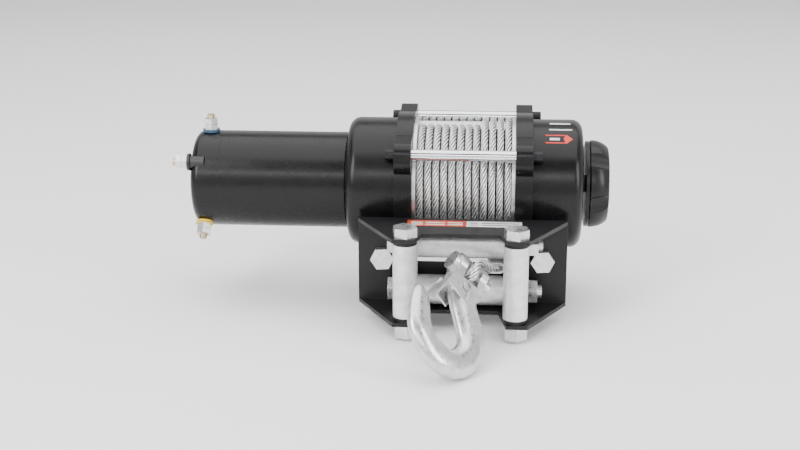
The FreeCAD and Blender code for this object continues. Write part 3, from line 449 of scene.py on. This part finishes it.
def make_winding():
    """Outer two layers of the wound rope, over a plain near-black core of the layers beneath,
    painted as shade.
    """
    outer = (WINDING_HIGH.z - WINDING_LOW.z) / 2
    left = WINDING_LOW.x + ROPE_RADIUS + 0.1 * MM
    right = WINDING_HIGH.x - ROPE_RADIUS - 0.1 * MM
    top = outer - ROPE_RADIUS
    below = top - LAYER_RISE
    # each turn steps aside behind the drum
    main = rope_mesh("rope_layer_full", *drum_turns(below, left, 11.95, 0.5), "drum")
    last = rope_mesh("rope_layer_last",
                     *drum_turns(top, right - 3 * TURN_PITCH, 3.9, 0.5), "drum")
    # the layers below fill the space between the turns, as a plain core coloured near black:
    # painted shade
    core_radius = below - ROPE_RADIUS * 0.45
    vertices = []
    faces = []
    ribs = 96
    rings = 60
    for ring in range(rings + 1):
        x = left - ROPE_RADIUS + (right - left + 2 * ROPE_RADIUS) * ring / rings
        for rib in range(ribs):
            angle = 2 * math.pi * rib / ribs
            vertices.append((x, core_radius * math.cos(angle),
                             AXIS_HEIGHT + core_radius * math.sin(angle)))
    for ring in range(rings):
        for rib in range(ribs):
            following = (rib + 1) % ribs
            start = ring * ribs
            faces.append((start + rib, start + ribs + rib, start + ribs + following,
                          start + following))
    core = new_mesh("rope_layers_below", vertices, faces, MATERIALS["rope_shade"], "drum")
    for piece in (main, last, core):
        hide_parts("rope_winding")


# ---------------------------------------------------------------- free rope and its eye
ROPE_ROUTE = [
    (0.01400, -0.02600, 0.01060), (0.01850, -0.04000, 0.01160),
    (0.02310, -0.05400, 0.01280), (0.02310, -0.09000, 0.01280),
    (0.00169, -0.09919, 0.01993), (-0.00225, -0.11548, 0.01098),
    (0.01012, -0.12395, 0.02094), (0.01406, -0.10766, 0.02990),
    (0.02890, -0.09000, 0.01280), (0.02890, -0.06400, 0.01280),
]


def smooth_line(name, route, resolution):
    """Points along a NURBS spline through the route's control points."""
    curve = bpy.data.curves.new(name, "CURVE")
    curve.dimensions = "3D"
    spline = curve.splines.new("NURBS")
    spline.points.add(len(route) - 1)
    for point, place in zip(spline.points, route):
        point.co = (*place, 1.0)
    spline.order_u = 3
    spline.use_endpoint_u = True
    spline.resolution_u = resolution
    line = bpy.data.objects.new(name, curve)
    bpy.context.scene.collection.objects.link(line)
    bpy.context.view_layer.update()
    mesh = bpy.data.meshes.new_from_object(line)
    points = [vertex.co.copy() for vertex in mesh.vertices]
    bpy.data.meshes.remove(mesh)
    bpy.data.objects.remove(line)
    bpy.data.curves.remove(curve)
    return points


def steady_ups(points):
    """Up directions carried along a line without twist."""
    ups = []
    up = Vector((0, 0, 1))
    for index, point in enumerate(points):
        before = points[max(index - 1, 0)]
        after = points[min(index + 1, len(points) - 1)]
        along = (after - before).normalized()
        up = (up - along * up.dot(along)).normalized()
        ups.append(up.copy())
    return ups


def make_free_rope():
    """The laid rope from the winding to its eye."""
    points = smooth_line("rope_line", ROPE_ROUTE, 24)
    rope = rope_mesh("rope_free", points, steady_ups(points), "root")
    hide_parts("rope_lead")


# ---------------------------------------------------------------- printed films, no lettering
FILM = 0.08 * MM


def film(name, rows, surface, material):
    """A thin sticker. rows are (height, start, end); surface turns (along, height) to a point."""
    columns = 8
    vertices = []
    for height, start, end in rows:
        for column in range(columns + 1):
            vertices.append(surface(start + (end - start) * column / columns, height))
    faces = []
    for row in range(len(rows) - 1):
        for column in range(columns):
            first = row * (columns + 1) + column
            faces.append((first, first + 1, first + columns + 2, first + columns + 1))
    sticker = new_mesh(name, vertices, faces, material)
    solid = sticker.modifiers.new("film", "SOLIDIFY")
    solid.thickness = FILM
    solid.offset = 1.0
    return sticker


def bar_rows(low, high, start, end, steps=6):
    """Rows of a plain bar."""
    return [(low + (high - low) * step / steps, start, end) for step in range(steps + 1)]


def make_films():
    """Plain panels on the fairlead's top flange, a plain arrow and bars on the right housing."""
    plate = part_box("fairlead_frame")[1].z + 0.02 * MM

    def on_flange(x, y):
        return Vector((x, y, plate))

    red = print_film("film_red", (0.46, 0.045, 0.015), (0.54, 0.07, 0.02))
    white = print_film("film_white", grey(0.62), grey(0.74))
    ink = print_film("film_ink", grey(0.03))
    film("panel_red", bar_rows(-0.0745, -0.0598, -0.0420, 0.0030), on_flange, red)
    film("panel_white", bar_rows(-0.0745, -0.0605, 0.0032, 0.0455), on_flange, white)
    plate += FILM + 0.02 * MM
    for index, (start, end) in enumerate(((-0.0390, -0.0300), (-0.0280, -0.0130),
                                          (-0.0110, 0.0005))):
        for line, height in enumerate((-0.0715, -0.0665)):
            film(f"panel_red_bar_{index}{line}", bar_rows(height, height + 0.0022, start, end, 1),
                 on_flange, white)
    for index, (start, end) in enumerate(((0.0060, 0.0120), (0.0150, 0.0430))):
        for line, height in enumerate((-0.0715, -0.0665)):
            film(f"panel_white_bar_{index}{line}",
                 bar_rows(height, height + 0.0016, start, end, 1), on_flange, ink)

    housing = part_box("right_housing")
    radius = (housing[1].z - housing[0].z) / 2 + 0.03 * MM
    middle = (housing[1].z + housing[0].z) / 2

    def on_housing(x, angle):
        turn = math.radians(angle)
        return Vector((x, -radius * math.cos(turn), middle + radius * math.sin(turn)))

    bright = print_film("film_bright_red", (0.62, 0.03, 0.02))
    film("arrow_upper_line", bar_rows(61.2, 62.6, 0.0622, 0.0790, 2), on_housing, bright)
    film("arrow_lower_line", bar_rows(52.2, 53.6, 0.0622, 0.0790, 2), on_housing, bright)
    tip, back = 0.0838, 0.0765
    head = []
    for step in range(13):
        angle = 52.2 + 10.4 * step / 12
        reach = 1 - abs(angle - 57.4) / 5.2
        head.append((angle, back + 0.0025 * (1 - reach) ** 2, back + 0.0025
                     + (tip - back - 0.0025) * reach))
    film("arrow_head", head, on_housing, bright)
    film("arrow_bar", bar_rows(55.9, 58.7, 0.0658, 0.0735, 2), on_housing, white)
    film("housing_bar_low", bar_rows(69.0, 71.0, 0.0654, 0.0832, 3), on_housing, white)
    film("housing_bar_high", bar_rows(79.8, 83.0, 0.0660, 0.0822, 4), on_housing, white)


# ---------------------------------------------------------------- stage, light and camera
def area_light(name, place, aim, size, power, colour=(1, 1, 1)):
    """A rectangular soft box aimed at a point."""
    lamp = bpy.data.lights.new(name, "AREA")
    lamp.shape = "RECTANGLE"
    lamp.size, lamp.size_y = size
    lamp.energy = power
    lamp.color = colour
    light = bpy.data.objects.new(name, lamp)
    bpy.context.scene.collection.objects.link(light)
    light.location = place
    light.rotation_euler = (Vector(aim) - Vector(place)).to_track_quat("-Z", "Y").to_euler()
    return light


def make_stage():
    """Pale floor that runs far behind the object, and an even pale world."""
    shader = Shader("studio_floor", grey(0.93), rough=0.9)
    shader.vary_colour(shader.noise(3, 2), grey(0.92), grey(0.94))
    level = CAD_BOX[0][2] - 0.0003
    half = 6.0
    mesh = bpy.data.meshes.new("studio_floor")
    mesh.from_pydata([(-half, -half, level), (half, -half, level), (half, half, level),
                      (-half, half, level)], [], [(0, 1, 2, 3)])
    mesh.materials.append(shader.material)
    floor = bpy.data.objects.new("studio_floor", mesh)
    bpy.context.scene.collection.objects.link(floor)
    world = bpy.data.worlds.new("studio")
    world.use_nodes = True
    tree = world.node_tree
    place = tree.nodes.new("ShaderNodeTexCoord")
    split = tree.nodes.new("ShaderNodeSeparateXYZ")
    tree.links.new(place.outputs["Generated"], split.inputs["Vector"])
    span = tree.nodes.new("ShaderNodeMapRange")
    span.inputs["From Min"].default_value = -1.0
    tree.links.new(split.outputs["Z"], span.inputs["Value"])
    ramp = tree.nodes.new("ShaderNodeValToRGB")
    # bright walls, a dark band above them and a bright ceiling
    bands = ((0.0, 0.90), (0.50, 0.75), (0.56, 1.30), (0.76, 1.30), (0.80, 0.06), (0.91, 0.06),
             (0.96, 1.10))
    ramp.color_ramp.elements[0].position = bands[0][0]
    ramp.color_ramp.elements[0].color = (*grey(bands[0][1]), 1.0)
    ramp.color_ramp.elements[1].position = bands[-1][0]
    ramp.color_ramp.elements[1].color = (*grey(bands[-1][1]), 1.0)
    for position, value in bands[1:-1]:
        ramp.color_ramp.elements.new(position).color = (*grey(value), 1.0)
    tree.links.new(span.outputs["Result"], ramp.inputs["Fac"])
    background = tree.nodes["Background"]
    tree.links.new(ramp.outputs["Color"], background.inputs["Color"])
    background.inputs["Strength"].default_value = 0.85
    bpy.context.scene.world = world
    aim = (0.0, 0.0, 0.05)
    area_light("key", (-0.75, -0.85, 0.75), aim, (0.35, 0.8), 13)
    area_light("fill", (1.05, -0.65, 0.55), aim, (0.35, 0.8), 9)
    area_light("overhead", (0.0, 0.15, 1.5), aim, (2.6, 2.2), 50)
    area_light("strip", (-0.1, -2.4, 1.28), aim, (2.2, 0.28), 16)


def make_camera():
    """The view of the object: from the front, a little above and to the right."""
    right = Vector((0.9972, 0.0742, -0.0026))
    up = Vector((-0.0197, 0.2975, 0.9545))
    back = Vector((0.0716, -0.9519, 0.2981))
    lens = bpy.data.cameras.new("camera")
    lens.lens = 62.43
    lens.sensor_width = 36.0
    lens.shift_y = 0.00375
    lens.clip_start = 0.01
    camera = bpy.data.objects.new("camera", lens)
    bpy.context.scene.collection.objects.link(camera)
    turn = Matrix((right, up, back)).transposed()
    camera.matrix_world = Matrix.Translation((0.0285, -1.0767, 0.3560)) @ turn.to_4x4()
    bpy.context.scene.camera = camera


paint_nodes()
make_winding()
make_free_rope()
make_films()
make_stage()
make_camera()
